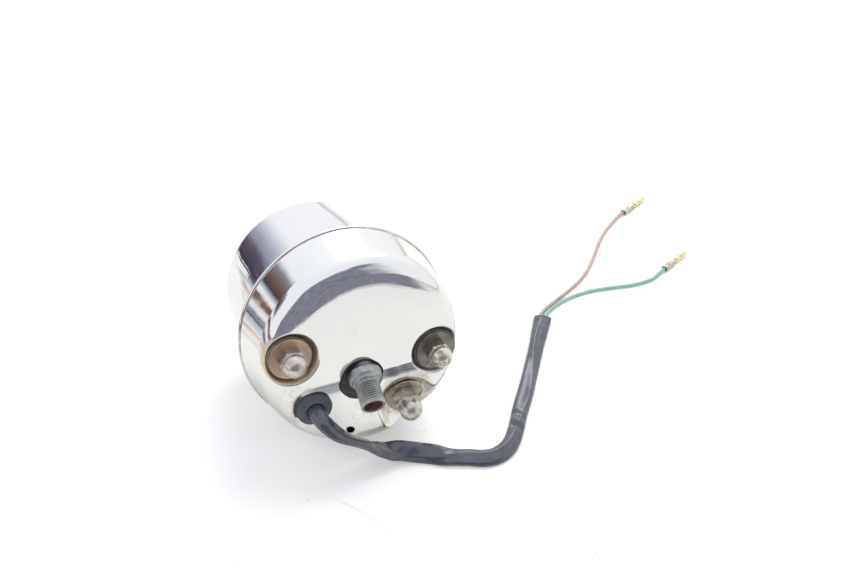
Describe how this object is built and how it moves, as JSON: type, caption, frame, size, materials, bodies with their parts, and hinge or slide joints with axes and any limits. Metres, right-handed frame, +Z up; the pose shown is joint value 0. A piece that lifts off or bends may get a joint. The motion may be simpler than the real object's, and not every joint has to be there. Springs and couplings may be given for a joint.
{
  "type": "motorcycle tachometer",
  "caption": "Mechanical motorcycle tachometer in a two-part chromed case, with an angled drive-cable stub, rubber-mounted studs and a two-wire lighting lead.",
  "frame": {"origin": "centre of the base of the instrument's bounding box on the ground, without the free harness", "axes": "+Z up; the instrument lies on its barrel; -Y towards the rear face with the cable stub and studs, +Y towards the lens; +X to the right seen from the rear"},
  "size_m": [0.3153, 0.1861, 0.1093],
  "materials": {
    "chrome_shell": "polished",
    "chrome_cover": "polished, finely scratched",
    "rubber_black": "matte",
    "lens_glass": "clear",
    "black_plastic": "matte",
    "dial_black": "matte",
    "pointer_red": "satin",
    "white_liner": "matte white",
    "zinc_plate": "zinc plated",
    "brass": "satin",
    "steel": "turned",
    "magnet_grey": "matte",
    "aluminium": "satin",
    "spring_blue": "blued",
    "bronze": "sintered",
    "die_cast": "die cast",
    "washer_tan": "rusty plated",
    "nut_nickel": "nickel plated, worn",
    "sleeve_pvc": "glossy",
    "wire_brown": "satin",
    "wire_green": "satin",
    "bulb_glass": "clear"
  },
  "bodies": {
    "case": {"front_shell": "chrome_shell", "rear_cover": "chrome_cover", "rim_seal": "rubber_black", "lens_gasket": "rubber_black", "lens": "lens_glass", "dial_ring": "black_plastic", "dial": "dial_black", "dial_screws": "steel", "zero_pin": "steel", "light_box": "white_liner", "back_plate": "zinc_plate", "frame_base": "brass", "pillars": "brass", "front_bridge": "brass", "frame_screws": "steel", "field_cup": "zinc_plate", "spindle_bush": "bronze", "hairspring": "spring_blue", "spring_stud": "brass", "drive_housing": "die_cast", "housing_screws": "steel", "input_bush": "bronze", "stub_gasket": "rubber_black", "mounting_studs": "steel", "damper_left": "rubber_black", "damper_right": "rubber_black", "damper_sleeves": "steel", "washer_left": "washer_tan", "washer_right": "washer_tan", "cap_nut_left": "nut_nickel", "cap_nut_right": "nut_nickel", "third_stud": "steel", "third_washer": "washer_tan", "third_cap_nut": "nut_nickel", "grommet": "rubber_black", "bulb_holder": "rubber_black", "bulb": "bulb_glass", "inner_leads": "wire_brown", "sleeve": "sleeve_pvc", "wire_brown": "wire_brown", "wire_green": "wire_green", "bullet_brown": "brass", "bullet_green": "brass"},
    "input": {"input_shaft": "steel", "input_pinion": "brass"},
    "magnet_rotor": {"magnet_spindle": "steel", "spindle_gear": "brass", "magnet": "magnet_grey"},
    "pointer_arm": {"pointer_staff": "steel", "drag_cup": "aluminium", "pointer": "pointer_red", "pointer_cap": "black_plastic"}
  },
  "joints": [
    {"name": "drive_input", "type": "hinge", "parent": "case", "child": "input", "pos_m": [-0.00218, -0.04124, 0.05014], "axis": [-0.1091, -0.9423, -0.3165], "continuous": true},
    {"name": "rotor_spin", "type": "hinge", "parent": "case", "child": "magnet_rotor", "pos_m": [0, 0.00288, 0.05243], "axis": [0, -0.9874, 0.158], "continuous": true},
    {"name": "pointer_swing", "type": "hinge", "parent": "case", "child": "pointer_arm", "pos_m": [0, 0.03053, 0.04801], "axis": [0, -0.9874, 0.158], "range_deg": [0, 270], "stiffness_Nm_per_rad": 0.0002, "springref_deg": -11.46, "deforming": ["hairspring"]}
  ],
  "couplings": [
    {"joint": "drive_input", "follows": "rotor_spin", "ratio": -1}
  ]
}
